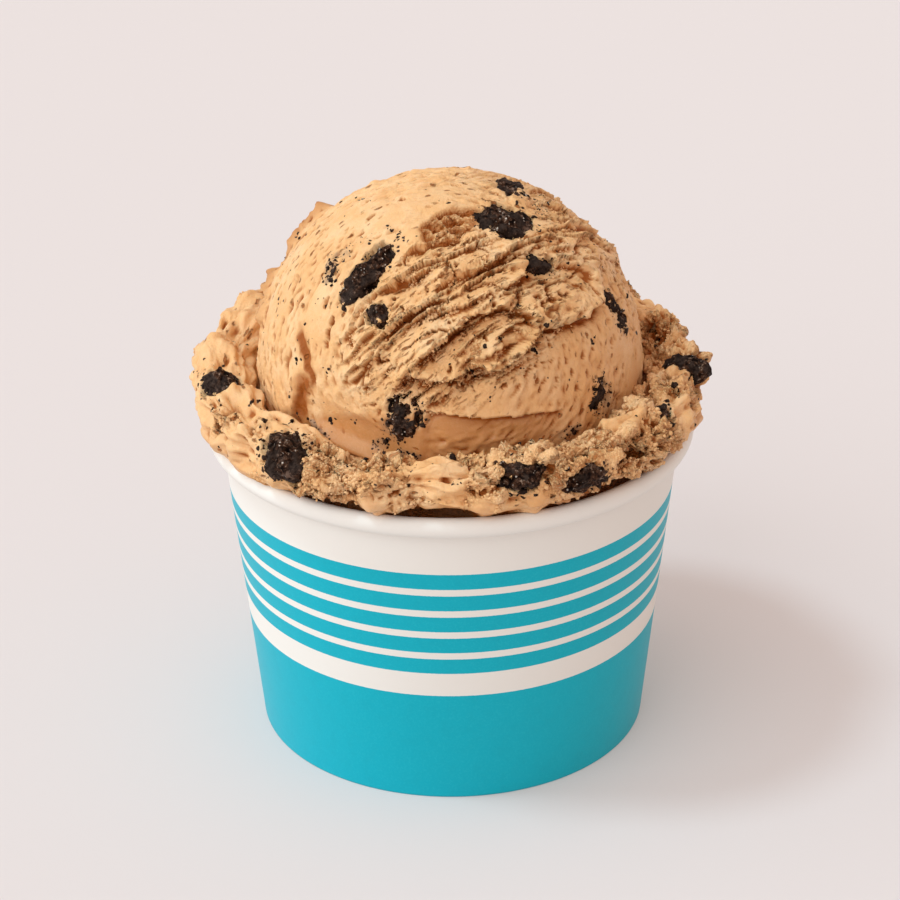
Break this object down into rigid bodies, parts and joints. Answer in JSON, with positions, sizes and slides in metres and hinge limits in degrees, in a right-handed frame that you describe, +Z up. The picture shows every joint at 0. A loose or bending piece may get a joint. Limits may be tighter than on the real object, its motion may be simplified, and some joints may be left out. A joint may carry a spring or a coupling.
{
  "type": "gelato cup",
  "caption": "Paper cup with a rolled rim and printed stripes, filled with biscuit-flecked gelato and topped by a round scoop with a lumpy collar.",
  "frame": {"origin": "centre of the cup's foot, on the surface it stands on", "axes": "+Z up along the cup's axis; -Y towards the side that is seen first, +X to its right"},
  "size_m": [0.0952, 0.0938, 0.1065],
  "materials": {
    "cup_board": "white coated board with printed teal stripes, satin",
    "base_board": "white board, matt",
    "gelato": "coffee-coloured gelato, moist",
    "biscuit": "dark cocoa biscuit, crumbly"
  },
  "bodies": {
    "root": {"biscuit_collar_back_left": "biscuit", "biscuit_collar_back_right": "biscuit", "biscuit_collar_front_left": "biscuit", "biscuit_collar_front_right": "biscuit", "biscuit_collar_left": "biscuit", "biscuit_collar_right": "biscuit", "biscuit_collar_right_small": "biscuit", "biscuit_collar_rim": "biscuit", "biscuit_scoop_back_high": "biscuit", "biscuit_scoop_back_mid": "biscuit", "biscuit_scoop_back_side": "biscuit", "biscuit_scoop_crown": "biscuit", "biscuit_scoop_front_low": "biscuit", "biscuit_scoop_hollow": "biscuit", "biscuit_scoop_left_long": "biscuit", "biscuit_scoop_left_small": "biscuit", "biscuit_scoop_right_low": "biscuit", "biscuit_scoop_right_sliver": "biscuit", "biscuit_scoop_top_large": "biscuit", "cup_bottom": "base_board", "cup_wall": "cup_board", "gelato": "gelato"}
  },
  "joints": []
}
